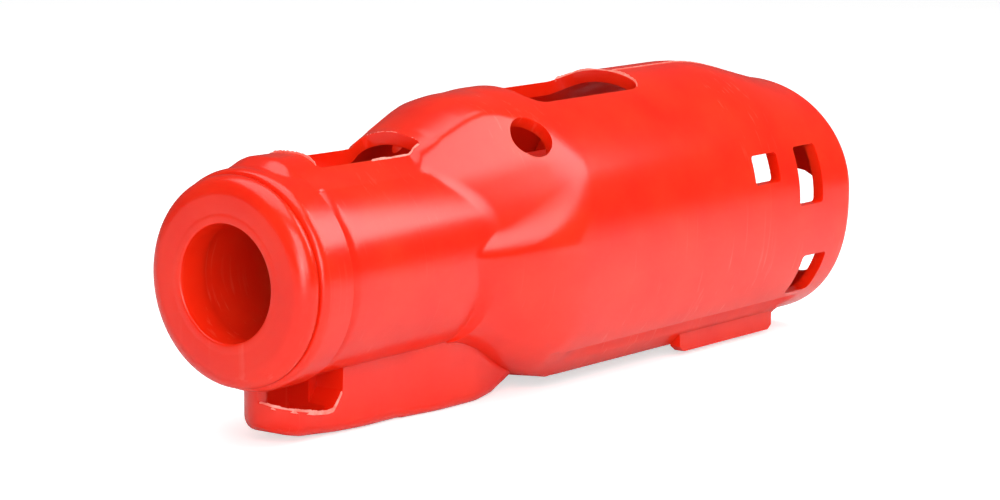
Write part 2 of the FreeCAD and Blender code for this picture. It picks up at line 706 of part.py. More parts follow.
# ---------------------------------------------------------------- trigger
def make_trigger():
    body = doc.addObject("PartDesign::Body", "trigger_body")
    hinge_x, hinge_z = size.hinge_x, -size.hinge_drop
    bridge_start, bridge_end = hinge_x + 5, hinge_x + 12
    bridge_top, bridge_low = hinge_z - 0.5, hinge_z - 2.9

    bridge = body.newObject("PartDesign::Pad", "bridge")
    bridge.Profile = sketch_on(body, "XZ_Plane")
    polygon(bridge.Profile[0], [(bridge_start, bridge_top), (bridge_end, bridge_top),
                                (bridge_end, bridge_low), (bridge_start, bridge_low)])
    bind(bridge, "Length", 2 * arm_outside)
    bridge.Midplane = True
    doc.recompute()

    reach = hinge_x + size.trigger_reach
    paddle = body.newObject("PartDesign::Pad", "paddle")
    paddle.Profile = sketch_on(body, "XZ_Plane")
    polygon(paddle.Profile[0], [
        (bridge_start, bridge_top), (bridge_end + 10, bridge_top - 1.5),
        (reach, bridge_top - size.trigger_drop + 2), (reach, bridge_top - size.trigger_drop - 1),
        (reach - 20, bridge_top - size.trigger_drop - 1), (bridge_end + 8, bridge_low - 2.5),
        (bridge_start, bridge_low)])
    bind(paddle, "Length", size.trigger_width)
    paddle.Midplane = True
    doc.recompute()

    arm = body.newObject("PartDesign::Pad", "arm")
    arm.Profile = sketch_on(body, "XZ_Plane", arm_inside)
    polygon(arm.Profile[0], [
        (hinge_x - 4, 4), (hinge_x + 4, 4), (hinge_x + 4, hinge_z + 5), (bridge_end, bridge_top),
        (bridge_end, bridge_low), (hinge_x - 3, bridge_low), (hinge_x - 4, bridge_low + 2)])
    bind(arm, "Length", size.arm_thickness)
    other_arm = body.newObject("PartDesign::Mirrored", "other_arm")
    other_arm.Originals = [arm]
    other_arm.MirrorPlane = (origin_plane(body, "XZ_Plane"), [""])
    body.Tip = other_arm
    doc.recompute()

    holes = body.newObject("PartDesign::Pocket", "holes")
    holes.Profile = sketch_on(body, "XZ_Plane")
    circle(holes.Profile[0], hinge_x, hinge_z, size.hinge_pin_radius + size.running_gap)
    half_slot = size.drive_pin_radius + 0.25
    polygon(holes.Profile[0], [(hinge_x - half_slot, -3), (hinge_x + half_slot, -3),
                               (hinge_x + half_slot, 6), (hinge_x - half_slot, 6)])
    holes.Type = 1
    holes.Midplane = True
    body.Tip = holes
    doc.recompute()
    return body


finish(make_trigger(), "trigger")
hinge_half = arm_outside + 0.5
finish(rod("y", (size.hinge_x, -hinge_half, -size.hinge_drop), size.hinge_pin_radius, 2 * hinge_half),
       "trigger_pin")

# ---------------------------------------------------------------- hose end
coupling_seal = plug_ring_end + 3
socket_fit = size.socket_radius - 0.05
finish(turned("coupling", [
    (plug_ring_end, size.coupling_bore_radius), (pocket_start, size.coupling_bore_radius),
    (pocket_start, pocket_radius), (thread_start, pocket_radius),
    (thread_start, size.thread_radius), (coupling_end, size.thread_radius),
    (coupling_end, size.coupling_radius), (valve_end + 8, size.coupling_radius),
    (valve_end + 8, size.valve_radius), (valve_end + 0.2, size.valve_radius),
    (valve_end + 0.2, socket_fit), (coupling_seal + size.seal_groove / 2, socket_fit),
    (coupling_seal + size.seal_groove / 2, socket_fit - groove),
    (coupling_seal - size.seal_groove / 2, socket_fit - groove),
    (coupling_seal - size.seal_groove / 2, socket_fit), (plug_ring_end, socket_fit),
]), "inlet_coupling")
finish(seal(coupling_seal, socket_fit - groove), "coupling_seal")

seat_radius = pocket_radius - 0.1
finish(disc("strainer", pocket_start, size.strainer_thickness, seat_radius, 1,
            [(3.6, 1.1, 6), (7.2, 1.1, 12)]), "inlet_strainer")
gasket_start = pocket_start + size.strainer_thickness
finish(turned("gasket", [
    (gasket_start, 8.8), (gasket_start, seat_radius),
    (gasket_start + size.gasket_thickness, seat_radius), (gasket_start + size.gasket_thickness, 8.8),
]), "inlet_gasket")

bracket_radius = size.body_half_width - size.wall - size.soft_gap
bracket_disc = rod("x", (size.bracket_start, 0, 0), bracket_radius, size.bracket_thickness)
bracket_bore = rod("x", (size.bracket_start - 1, 0, 0), size.coupling_radius + 0.05,
                   size.bracket_thickness + 2)
below = box(size.bracket_start - 1, -40, -48, size.bracket_thickness + 2, 80, 40)
finish(cut(bracket_disc, join([bracket_bore, below], "bracket_tools"), "bracket_cut"), "support_bracket")

# ---------------------------------------------------------------- check and write
doc.recompute()
for item in doc.Objects:
    troubled = [state for state in item.State if state in ("Invalid", "Error")]
    if troubled:
        raise RuntimeError("%s (%s) failed: %s" % (item.Name, item.Label, item.State))
os.makedirs("parts", exist_ok=True)
for item in finished:
    shape = item.Shape
    if shape.isNull() or not shape.isValid() or not shape.Solids:
        raise RuntimeError(item.Label + " has no valid solid")
    shape.exportStep("parts/%s.step" % item.Label)
    print("%-18s %2d solid(s) %9.1f mm3" % (item.Label, len(shape.Solids), shape.Volume))
print(len(finished), "nodes")
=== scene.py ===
# %% [markdown]
# # A hose nozzle inside one red plastic casing
#
# The object is a hand nozzle for a hose reel. What a user sees and holds is the casing: one thin
# shell of glossy red plastic, moulded in a single shot. A twist nose turns at its front, and a
# metal valve, a trigger and a hose coupling sit inside it.
#
# The working pieces come from the engineering model, which is loaded as a fixed frame. This
# lesson dresses that frame: it builds a finer casing and nose around it, gives every piece a
# finish, and sets up a plain studio.

import json
import math

import bmesh
import bpy
import numpy as np
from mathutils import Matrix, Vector

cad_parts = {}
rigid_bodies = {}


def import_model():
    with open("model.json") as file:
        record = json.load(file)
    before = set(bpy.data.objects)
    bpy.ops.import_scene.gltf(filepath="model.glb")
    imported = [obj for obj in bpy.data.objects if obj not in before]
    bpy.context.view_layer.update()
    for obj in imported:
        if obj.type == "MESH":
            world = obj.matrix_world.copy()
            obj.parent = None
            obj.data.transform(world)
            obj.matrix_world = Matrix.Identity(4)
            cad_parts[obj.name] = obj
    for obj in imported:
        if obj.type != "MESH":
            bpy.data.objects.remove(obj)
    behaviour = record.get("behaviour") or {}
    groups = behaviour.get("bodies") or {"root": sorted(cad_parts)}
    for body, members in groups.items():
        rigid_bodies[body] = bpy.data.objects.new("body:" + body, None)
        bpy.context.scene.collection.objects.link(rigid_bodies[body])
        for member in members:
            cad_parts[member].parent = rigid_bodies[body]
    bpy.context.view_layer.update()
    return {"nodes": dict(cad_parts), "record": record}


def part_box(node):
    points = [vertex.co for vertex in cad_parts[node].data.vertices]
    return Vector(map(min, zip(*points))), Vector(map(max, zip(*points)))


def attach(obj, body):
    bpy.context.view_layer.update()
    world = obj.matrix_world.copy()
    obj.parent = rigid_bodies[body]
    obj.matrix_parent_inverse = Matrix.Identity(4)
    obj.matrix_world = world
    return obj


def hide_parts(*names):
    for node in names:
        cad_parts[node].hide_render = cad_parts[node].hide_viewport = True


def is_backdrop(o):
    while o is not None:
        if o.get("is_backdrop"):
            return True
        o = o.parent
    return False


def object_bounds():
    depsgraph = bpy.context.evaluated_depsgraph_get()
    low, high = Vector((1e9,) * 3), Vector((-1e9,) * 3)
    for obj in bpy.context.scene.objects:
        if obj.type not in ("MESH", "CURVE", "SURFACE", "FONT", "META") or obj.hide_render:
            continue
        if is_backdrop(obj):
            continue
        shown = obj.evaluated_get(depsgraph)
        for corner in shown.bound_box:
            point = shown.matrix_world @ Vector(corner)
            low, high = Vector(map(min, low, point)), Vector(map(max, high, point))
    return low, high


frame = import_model()
print("pieces loaded:", len(frame["nodes"]))

# %% [markdown]
# ## Measuring along the waterway
#
# A nozzle is drawn along its waterway, so every number below is in millimetres from the front
# face of the nose (x), across (y) and up from the waterway's axis (z). Two small helpers turn
# those into the frame's metres. They take the two offsets from the loaded pieces, so the new
# meshes land exactly where the engineering model is.

# %% From workshop millimetres to the frame
MM = 0.001
nose_low, nose_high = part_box("nose_ring")
FRONT = nose_low.x
AXIS = (nose_low.z + nose_high.z) / 2
print("front face at x =", round(FRONT, 5), " waterway axis at z =", round(AXIS, 5))


def place(points):
    """Workshop points in millimetres, as an array, to points in the frame in metres."""
    points = np.asarray(points, float) * MM
    return points + np.array([FRONT, 0.0, AXIS])


def spot(x, y, z):
    """One workshop point in the frame."""
    return Vector(place([[x, y, z]])[0])


def mesh_piece(name, points, faces):
    """A new object from workshop points and faces, linked to the scene."""
    mesh = bpy.data.meshes.new(name)
    mesh.from_pydata([tuple(p) for p in place(points)], [], faces)
    mesh.validate()
    piece = bpy.data.objects.new(name, mesh)
    bpy.context.scene.collection.objects.link(piece)
    return piece


# %% [markdown]
# ## The casing's outside as a height map
#
# The casing is a moulded shell around a straight waterway. From the axis, each direction meets
# its outside just once, so the outside can be written as one distance for each station x and
# each angle round the axis. That is a height map wrapped round a line. It is easy to shape: a
# round neck, a raised saddle, flat shoulder facets and a wide body are each a small formula, and
# the largest one wins. A soft maximum, in place of a hard one, leaves the rounded inside corner
# that a mould has.

# %% Soft maximum and minimum


def soft_max(a, b, width):
    """The larger of two height maps, blended over a width in millimetres."""
    share = np.clip(0.5 + 0.5 * (a - b) / width, 0, 1)
    return b + (a - b) * share + width * share * (1 - share)


def soft_min(a, b, width):
    """The smaller of two height maps, blended the same way."""
    return -soft_max(-a, -b, width)


def ramp(x, start, end):
    """0 before start, 1 after end, smooth between."""
    share = np.clip((x - start) / (end - start), 0, 1)
    return share * share * (3 - 2 * share)


NO_SURFACE = 500.0  # farther out than any surface of the casing
GRAZING = 0.05  # a facet that faces a direction less than this is out of its reach


def reach(across, up, distance, side, rise):
    """How far from the axis a flat facet lies, along each direction round it."""
    facing = across * side + up * rise
    return np.where(facing > GRAZING, distance / np.maximum(facing, GRAZING), NO_SURFACE)


print("soft maximum of 10 and 10.5 over 2 mm:", round(float(soft_max(10.0, 10.5, 2.0)), 2))


# %% [markdown]
# The neck is a plain tube with a collar at its front and a soft groove behind the collar. Along
# its top runs a low rounded ridge, which the slot for the valve is cut into. Its crest is drawn
# through a few given heights, because it dips and swells and no simple formula does that.

# %% Neck, collar and ridge
COLLAR = (5.0, 14.4)
NECK_RADIUS, COLLAR_RADIUS = 24.0, 25.1
COLLAR_ROUND, COLLAR_DROP = 2.4, 1.2
GROOVE_LENGTH, GROOVE_DEPTH = 4.6, 2.1
CREST_STATIONS = [5.0, 7.0, 12.5, 50.0, 55.0]
CREST_HEIGHTS = [24.0, 24.5, 27.1, 26.6, 26.8]
RIDGE_FLAT, RIDGE_FOOT, RIDGE_CUT = 6, 36, 33  # degrees from straight up


def neck_height(x):
    """The tube of the neck, with its groove and the rounded collar in front."""
    groove = np.clip((x - COLLAR[1]) / GROOVE_LENGTH, 0, 1)
    neck = NECK_RADIUS - GROOVE_DEPTH * (1 - groove) ** 2
    front = np.clip((COLLAR[0] + COLLAR_ROUND - x) / COLLAR_ROUND, 0, 1)
    collar = COLLAR_RADIUS - COLLAR_DROP * (1 - np.sqrt(1 - front ** 2))
    return np.where(x <= COLLAR[1], collar, neck)


def ridge_height(x, angle):
    """The ridge along the top: highest at the middle, and cut off to each side."""
    top = np.interp(x, CREST_STATIONS, CREST_HEIGHTS)
    turned = np.degrees(np.abs(np.arctan2(np.sin(angle), np.cos(angle))))
    ridge = NECK_RADIUS + (top - NECK_RADIUS) * (1 - ramp(turned, RIDGE_FLAT, RIDGE_FOOT))
    return np.where(turned < RIDGE_CUT, ridge, 0.0)


print("collar, groove and neck:", np.round(neck_height(np.array([10.0, 14.5, 30.0])), 1))


# %% [markdown]
# The body is an oval that has its own size upwards, downwards and sideways, and a squarer lower
# half. Along the open underside it ends in two rails, each a slanted band above a flat foot.

# %% Body
LENGTH = 212.0
BODY_SIDE, BODY_TOP, BODY_LOW = 31.5, 35.7, 34.5
BODY_POWER = 2.4  # 2 is a true oval, and more is squarer
TAIL_ROUND = 4.2
TOP_FALL, FALL_START, FALL_END = 8.0, 168, LENGTH + 4
BAND_ACROSS, BAND_UP, BAND_REACH = 0.719, -0.695, 34.1
FOOT_DROP, FOOT_HALF_WIDTH = 1.1, 21.5
RAIL_SLOPE = 1.295  # rails lie where down is more than this many times sideways
RAIL_IN, RAIL_FULL, RAIL_FADE, RAIL_OUT = 78, 93, 196, 199


def oval(side, rise, half_width, top, low, power):
    """A section with its own size upwards, downwards and sideways."""
    up = (side / half_width) ** 2 + (np.maximum(rise, 0) / top) ** 2
    down = (side / half_width) ** power + (np.maximum(-rise, 0) / low) ** power
    return np.where(rise >= 0, up ** -0.5, down ** (-1 / power))


def body_height(x, side, rise):
    """The body's oval with the rails under it, a falling top and a rounded rear end."""
    into_tail = np.clip((x - LENGTH + TAIL_ROUND) / TAIL_ROUND, 0, 1)
    tail = TAIL_ROUND * (1 - np.sqrt(1 - into_tail ** 2))
    top = BODY_TOP - TOP_FALL * ramp(x, FALL_START, FALL_END)
    main = oval(side, rise, BODY_SIDE, top, BODY_LOW, BODY_POWER)
    band = reach(BAND_ACROSS, BAND_UP, BAND_REACH, side, rise)
    foot = reach(0.0, -1.0, BODY_LOW + FOOT_DROP, side, rise)
    rail = np.minimum(np.minimum(band, foot), FOOT_HALF_WIDTH / np.maximum(side, 0.02))
    under = -rise > RAIL_SLOPE * side
    on = ramp(x, RAIL_IN, RAIL_FULL) * (1 - ramp(x, RAIL_FADE, RAIL_OUT)) * under
    return main + (rail - main) * on - tail


print("body:", 2 * BODY_SIDE, "mm wide,", BODY_TOP + BODY_LOW + FOOT_DROP, "mm high")

# %% [markdown]
# The shoulder joins neck and body. Along its top a low arch climbs rearwards. Beside the arch,
# flat facets climb at much the same rate. Below them the body starts as a rounded cheek of its
# own, so a valley runs between facets and cheek. A facet is written as the direction that it
# faces and its distance from the axis, which grows with x.

# %% Shoulder: arch, facets and cheek
ARCH_END = 92
ARCH_STATIONS = [50, 55, 60.4, 65.4, 70.3, 76, 80, 86, ARCH_END]
ARCH_HEIGHTS = [23, 27.2, 28.8, 30.9, 32.9, 34.8, 35.6, 35.95, 38.0]
BEND_STATIONS, BENDS = [52, 62], [0.030, 0.018]
UPPER_FACET = (0.771, 0.571, 6.41, 0.282)  # facing sideways, facing up, distance, climb per mm
LOWER_FACET = (0.896, 0.348, 5.21, 0.273)
LOWEST_FACET = (0.925, 0.262, 5.03, 0.273)
FACET_BLEND, LOWEST_BLEND = 0.7, 0.5
FACET_FADE, FACET_END = 0.7, 40  # mm lost for each degree below the middle, and the last degree
CHEEK_START, CHEEK_END, CHEEK_NARROWING = 60, 97, 7.5


def arch_height(x, side, rise):
    """The arch z = top - bend * y * y, as a distance from the axis."""
    top = np.interp(x, ARCH_STATIONS, ARCH_HEIGHTS)
    bend = np.interp(x, BEND_STATIONS, BENDS)
    arch = 2 * top / (rise + np.sqrt(rise ** 2 + 4 * bend * side ** 2 * top))
    return np.where((rise > GRAZING) & (x < ARCH_END), arch, NO_SURFACE)


def one_facet(facet, x, side, level):
    across, up, distance, climb = facet
    return reach(across, up, distance + climb * x, side, level)


def facet_height(x, side, rise):
    """The three facets beside the arch, fading out below the middle."""
    level = np.maximum(rise, 0)
    upper = one_facet(UPPER_FACET, x, side, level)
    lower = one_facet(LOWER_FACET, x, side, level)
    lower = soft_min(lower, one_facet(LOWEST_FACET, x, side, level), LOWEST_BLEND)
    below = np.degrees(np.arctan2(side, rise)) - 90
    facets = soft_min(upper, lower, FACET_BLEND) - np.maximum(below, 0) * FACET_FADE
    return np.where(below > FACET_END, 0.0, facets)


def cheek_height(x, side, rise):
    """The front of the body, swelling out of the neck."""
    start = np.clip((CHEEK_END - x) / (CHEEK_END - CHEEK_START), 0, 1.6)
    half_width = BODY_SIDE - CHEEK_NARROWING * start ** 2.2
    top = 8 + 27.9 * np.clip((x - CHEEK_START) / 40, 0, 1) ** 1.6
    low = 23 * np.sqrt(np.clip((x - 59.5) / 5, 0.01, 1)) + 11.5 * ramp(x, 65, CHEEK_END)
    return oval(side, rise, half_width, top, low, BODY_POWER)


print("arch straight above the axis:", np.round(arch_height(np.array([60.0, 75.0, 90.0]), 0.0, 1.0), 1))

# %% [markdown]
# One function now puts the surfaces together. The shoulder is the nearest of facets, arch and
# body, or the cheek where that lies farther out, and it fades into the body at its rear. A
# crease is pressed in along each rail. The inside of the shell is worked out by the same
# function without ridge and crease, so the core that forms the hollow stays smooth.

# %% The whole outside
SHOULDER_START, FADE_START, BODY_ONLY = 45, 88, 104
NECK_BLEND, ARCH_BLEND, BODY_BLEND, CHEEK_BLEND = 0.8, 0.7, 2.0, 1.5
CREASE_ANGLE, CREASE_DEPTH, CREASE_WIDTH = 142.5, 1.7, 7.5
CREASE_STEP = 0.4  # degrees from the rail's surface down to the floor of the crease
CREASE_IN, CREASE_FULL, CREASE_FADE, CREASE_OUT = 98, 106, 192, 197


def crease(x, rise):
    """Depth of the crease: sharp at its upper edge, fading out below."""
    under = np.degrees(np.arccos(np.clip(rise, -1, 1))) - CREASE_ANGLE - CREASE_STEP
    groove = CREASE_DEPTH * np.clip(1 - under / CREASE_WIDTH, 0, 1) * (under >= -0.01)
    return groove * ramp(x, CREASE_IN, CREASE_FULL) * (1 - ramp(x, CREASE_FADE, CREASE_OUT))


def outside(x, angle, with_ridge=True):
    """Distance from the axis to the casing's outside, in millimetres."""
    side = np.abs(np.sin(angle))
    rise = np.cos(angle)
    neck = neck_height(x)
    if with_ridge:
        neck = np.maximum(neck, ridge_height(x, angle))
    body = body_height(x, side, rise)
    shoulder = soft_min(facet_height(x, side, rise), arch_height(x, side, rise), ARCH_BLEND)
    shoulder = soft_min(shoulder, body, BODY_BLEND)
    shoulder = np.minimum(soft_max(shoulder, cheek_height(x, side, rise), CHEEK_BLEND), body)
    shoulder = shoulder + (body - shoulder) * ramp(x, FADE_START, BODY_ONLY)
    joined = np.minimum(soft_max(neck, shoulder, NECK_BLEND), np.maximum(neck, body))
    height = np.where(x > SHOULDER_START, joined, neck)
    height = np.where(x > BODY_ONLY, body, height)
    if with_ridge:
        height = height - crease(x, rise)
    return height


probe = np.array([10.0, 40.0, 60.0, 80.0, 120.0, 208.0])
for degrees in (0, 40, 60, 90, 140, 180):
    row = outside(probe, np.full_like(probe, math.radians(degrees)))
    print("outside at", degrees, "degrees:", np.round(row, 1))

# %% [markdown]
# ## From height map to shell
#
# The outside and the inside are two grids of the same columns. The inside follows 3 mm below the
# outside, and never comes nearer the axis than the barrel that lies in the neck. The two are
# joined by a ring at the front, and closed at the rear by two end walls. Grid lines are closer
# together where the form turns quickly: at the collar, along the shoulder and beside the crease.

# %% Stations and columns
WALL = 3.0
NECK_BORE, COLLAR_BORE, COLLAR_BORE_END = 21.0, 22.1, 14.01
ARM_RELIEF = 0.9  # the wall is thinner inside, beside the trigger's arms
RELIEF_IN, RELIEF_FULL, RELIEF_FADE, RELIEF_OUT = 78, 88, 104, 110


def steps(*runs):
    """Stations from several (start, end, step) runs, without repeats."""
    values = []
    for start, end, step in runs:
        count = max(1, round((end - start) / step))
        values += [start + (end - start) * i / count for i in range(count)]
    return np.array(values + [runs[-1][1]])


stations = steps((5.0, 7.4, 0.2), (7.4, 14.1, 0.95), (14.1, 14.39, 0.29), (14.39, 14.42, 0.03),
                 (14.42, 19.0, 0.4), (19.0, 48.0, 2.0), (48.0, 72.0, 0.5), (72.0, 106.0, 0.75),
                 (106.0, 176.0, 3.0), (176.0, 207.8, 1.4), (207.8, 212.0, 0.35))
half_turn = steps((0, 6, 3), (6, 40, 1.0), (40, 80, 1.3), (80, 142.5, 1.6), (142.5, 142.9, 0.4),
                  (142.9, 157.4, 1.45), (157.4, 180, 2.8))
columns = np.radians(np.concatenate([half_turn, 360 - half_turn[-2:0:-1]]))
inner_stations = steps((5.0, 14.0, 3.0), (14.0, 14.02, 0.02), (14.02, 54.0, 4.0), (54.0, 104.0, 2.0),
                       (104.0, 196.0, 4.0), (196.0, 209.0, 1.0))
print("outside grid:", len(stations), "stations by", len(columns), "columns")

# %% [markdown]
# A skin is a row of rings, one for each station, joined by quads. The inner skin's quads are
# turned over, so that they face the hollow and the shell is a closed solid.

# %% The two skins


def inside(x, angle):
    """Distance from the axis to the casing's inside."""
    bore = np.where(x < COLLAR_BORE_END, COLLAR_BORE, NECK_BORE)
    relief = ARM_RELIEF * ramp(x, RELIEF_IN, RELIEF_FULL) * (1 - ramp(x, RELIEF_FADE, RELIEF_OUT))
    low_down = np.cos(angle) < -0.6
    return np.maximum(bore, outside(x, angle, with_ridge=False) - WALL + relief * low_down)


def skin_points(rows, height):
    """Points of one skin, row after row."""
    points = []
    for x in rows:
        radius = height(np.full_like(columns, x), columns)
        ring = np.stack([np.full_like(columns, x), radius * np.sin(columns), radius * np.cos(columns)], 1)
        points.append(ring)
    return np.concatenate(points)


def skin_faces(row_count, first, turned_in):
    """Quads between neighbouring rows of a skin whose points start at first."""
    count = len(columns)
    faces = []
    for row in range(row_count - 1):
        a, b = first + row * count, first + (row + 1) * count
        for i in range(count):
            j = (i + 1) % count
            quad = (a + i, a + j, b + j, b + i)
            faces.append(quad[::-1] if turned_in else quad)
    return faces


def shell_mesh():
    """Both skins as one closed solid."""
    outer = skin_points(stations, outside)
    inner = skin_points(inner_stations, inside)
    count = len(columns)
    start = len(outer)
    faces = skin_faces(len(stations), 0, False) + skin_faces(len(inner_stations), start, True)
    for i in range(count):
        j = (i + 1) % count
        faces.append((i, start + i, start + j, j))
    last_outer, last_inner = start - count, start + len(inner) - count
    middle = start + len(inner)
    points = np.concatenate([outer, inner, [[stations[-1], 0, 0], [inner_stations[-1], 0, 0]]])
    for i in range(count):
        j = (i + 1) % count
        faces.append((last_outer + i, last_outer + j, middle))
        faces.append((last_inner + j, last_inner + i, middle + 1))
    return mesh_piece("casing_shell", points, faces)


shell = shell_mesh()
print("shell:", len(shell.data.vertices), "points,", len(shell.data.polygons), "faces")

# %% [markdown]
# ## Cutting the openings
#
# On the real casing the openings come from cores and sliding inserts in the mould. Here each is
# a closed cutter that a Boolean modifier takes away. A cutter is an outline with rounded
# corners, pulled along one axis, so every window gets the small corner radius of its insert.

# %% Cutters


def rounded_outline(low, high, corner, segments=5):
    """Corner points of a rounded rectangle, anticlockwise."""
    points = []
    centres = [(high[0] - corner, high[1] - corner, 0), (low[0] + corner, high[1] - corner, 90),
               (low[0] + corner, low[1] + corner, 180), (high[0] - corner, low[1] + corner, 270)]
    for a, b, start in centres:
        for i in range(segments + 1):
            turn = math.radians(start + 90 * i / segments)
            points.append((a + corner * math.cos(turn), b + corner * math.sin(turn)))
    return points


def prism(name, outline, axis, low, high):
    """A solid from an outline pulled along x, y or z between two levels."""
    count = len(outline)
    points = []
    for level in (low, high):
        for a, b in outline:
            points.append({"x": (level, a, b), "y": (a, level, b), "z": (a, b, level)}[axis])
    faces = [tuple(range(count)), tuple(range(2 * count - 1, count - 1, -1))]
    for i in range(count):
        j = (i + 1) % count
        faces.append((i, count + i, count + j, j))
    piece = mesh_piece(name, points, faces)
    tidy_normals(piece)
    return piece


def tidy_normals(piece):
    """Turn every face outwards, as the solver for cuts needs."""
    work = bmesh.new()
    work.from_mesh(piece.data)
    bmesh.ops.recalc_face_normals(work, faces=work.faces)
    work.to_mesh(piece.data)
    work.free()


def tube_cutter(name, centre, direction, radius, length, sides=48):
    """A round cutter with its middle at centre, along any direction."""
    axis = Vector(direction).normalized()
    turn = axis.to_track_quat("Z", "Y")
    points = []
    for end in (-0.5, 0.5):
        for i in range(sides):
            angle = 2 * math.pi * i / sides
            local = Vector((radius * math.cos(angle), radius * math.sin(angle), end * length))
            points.append(tuple(Vector(centre) + turn @ local))
    faces = [tuple(range(sides - 1, -1, -1)), tuple(range(sides, 2 * sides))]
    faces += [(i, (i + 1) % sides, sides + (i + 1) % sides, sides + i) for i in range(sides)]
    piece = mesh_piece(name, points, faces)
    tidy_normals(piece)
    return piece


print("corners of a rounded outline:", len(rounded_outline((0, 0), (10, 8), 1)))

# %% [markdown]
# A cut is made by a Boolean modifier whose result is kept at once. The manifold solver is quick
# and leaves closed meshes closed, as long as the cutter is closed too.

# %% Cut and join


def combine(base, tools, how):
    """Cut or join a list of solids with a base, and delete them."""
    for tool in tools:
        step = base.modifiers.new("step", "BOOLEAN")
        step.operation = how
        step.solver = "MANIFOLD"
        step.object = tool
        graph = bpy.context.evaluated_depsgraph_get()
        made = bpy.data.meshes.new_from_object(base.evaluated_get(graph))
        base.modifiers.clear()
        old = base.data
        base.data = made
        bpy.data.meshes.remove(old)
        bpy.data.objects.remove(tool)
    return base


# %% [markdown]
# ## The keel
#
# Under the neck hangs the keel, a hollow box with a round front that the casing stands on. Its
# front has an opening in one side, from the middle of the front back to a slanted end. The keel
# is built as a row of cross-sections, hollowed and cut, and only then joined to the shell, so
# the cuts can never reach the neck.

# %% The keel's form
KEEL_FRONT, KEEL_ROUND = 9.7, 8.0
KEEL_WALL = 2.9
KEEL_WIDENING, KEEL_BULGE = 1.2, 1.9
KEEL_STATIONS = [9.7, 10.3, 11.8, 14.5, 18.2, 28.8, 39.4, 50.3, 52.0, 78, 84, 90, 95, 98]
KEEL_DEPTHS = [33.0, 34.0, 35.0, 35.9, 36.7, 37.5, 37.75, 37.75, 37.97, 37.97, 37.4, 35.4, 33.2, 31.0]
ROOF_SINK = 1.5  # the keel's top lies this far inside the shell's wall


def keel_half(x):
    """Half the keel's width: a round nose, then slowly wider, with a bulge in the middle."""
    share = np.clip((x - KEEL_FRONT) / KEEL_ROUND, 0.004, 1)
    nose_part = KEEL_ROUND * np.sqrt(1 - (1 - share) ** 2)
    bulge = KEEL_BULGE * ramp(x, 48, 66) * (1 - ramp(x, 74, 92))
    return nose_part + KEEL_WIDENING * ramp(x, 20, 40) + bulge


def keel_low(x):
    """How far the keel reaches below the axis."""
    return np.interp(x, KEEL_STATIONS, KEEL_DEPTHS)


def under_neck(x):
    """Radius of the keel's top, inside the shell's own underside."""
    return float(outside(np.array([x]), np.array([math.pi]))[0]) - ROOF_SINK


def keel_block(name, rows, half, low, top_radius, corner, turns=6):
    """A solid from cross-sections with rounded lower corners and a top that follows the neck."""
    points, faces = [], []
    for x in rows:
        width, bottom, top = float(half(x)), -float(low(x)), float(top_radius(x))
        bend = min(corner, 0.7 * width)
        section = [(-width * share, -math.sqrt(max(top * top - (width * share) ** 2, 1.0)))
                   for share in (0, 0.5, 1)]
        section += [(-width + bend - bend * math.cos(math.radians(turn)),
                     bottom + bend - bend * math.sin(math.radians(turn)))
                    for turn in np.linspace(0, 90, turns)]
        section += [(-y, z) for y, z in section[:0:-1]]
        points += [(x, y, z) for y, z in section]
        count = len(section)
    for row in range(len(rows) - 1):
        a, b = row * count, (row + 1) * count
        for i in range(count):
            j = (i + 1) % count
            faces.append((a + i, a + j, b + j, b + i))
    last = (len(rows) - 1) * count
    faces += [tuple(range(count - 1, -1, -1)), tuple(range(last, last + count))]
    piece = mesh_piece(name, points, faces)
    tidy_normals(piece)
    return piece


print("keel half width at 12, 30 and 70 mm:", [round(float(keel_half(x)), 1) for x in (12, 30, 70)])

# %% [markdown]
# The room inside the keel is a second, smaller block of the same form. The opening is an outline
# seen from the side, pulled only as far as the keel's middle, so the far side stays closed.

# %% Keel, room and opening
SIDE_OPENING = [(8.0, -15), (8.0, -27.9), (9.9, -28.3), (10.8, -29.0), (14.4, -30.0), (20.3, -31.3),
                (24.5, -31.8), (26.4, -31.6), (27.4, -30.6), (29.6, -27.6), (30.4, -15)]
keel_rows = list(steps((9.7, 10.3, 0.1), (10.3, 13.0, 0.3), (13.0, 18.0, 0.5), (18.0, 48.0, 2.0),
                       (48.0, 58.0, 0.5), (58.0, 98.0, 1.0)))
keel = keel_block("keel", keel_rows, keel_half, keel_low, under_neck, 3.0)
room_rows = list(steps((12.7, 14.0, 0.2), (14.0, 18.0, 0.5), (18.0, 27.0, 1.5)))
room = keel_block("keel_room", room_rows, lambda x: max(0.5, keel_half(x) - KEEL_WALL),
                  lambda x: keel_low(x) - KEEL_WALL, lambda x: 15.0, 1.5)
side_cut = prism("side_cut", SIDE_OPENING, "y", -12, -0.6)
combine(keel, [room, side_cut], "DIFFERENCE")
print("keel:", len(keel.data.polygons), "faces")

# %% [markdown]
# Each rail carries a short skirt near its rear, a plain plate with cut corners. Keel and skirts
# are joined to the shell as one solid, as they come out of one mould.

# %% Skirts
SKIRT_INNER, SKIRT_OUTER = 13.5, 16.5
SKIRT_OUTLINE = [(152.5, -32), (195, -31), (195, -35.6), (193.5, -36.8), (154.5, -36.8), (152.5, -35.4)]
skirts = []
for sign in (-1, 1):
    low, high = sorted((sign * SKIRT_INNER, sign * SKIRT_OUTER))
    skirts.append(prism("skirt", SKIRT_OUTLINE, "y", low, high))
combine(shell, [keel] + skirts, "UNION")
print("with keel and skirts:", len(shell.data.polygons), "faces")

# %% [markdown]
# The windows are plain cutters, and each side window is made twice, mirrored. The oval hole in
# the shoulder is two round cutters that overlap. The rear end is opened by a wide slot and a
# round notch above it, which leaves the end wall that stiffens the shell.

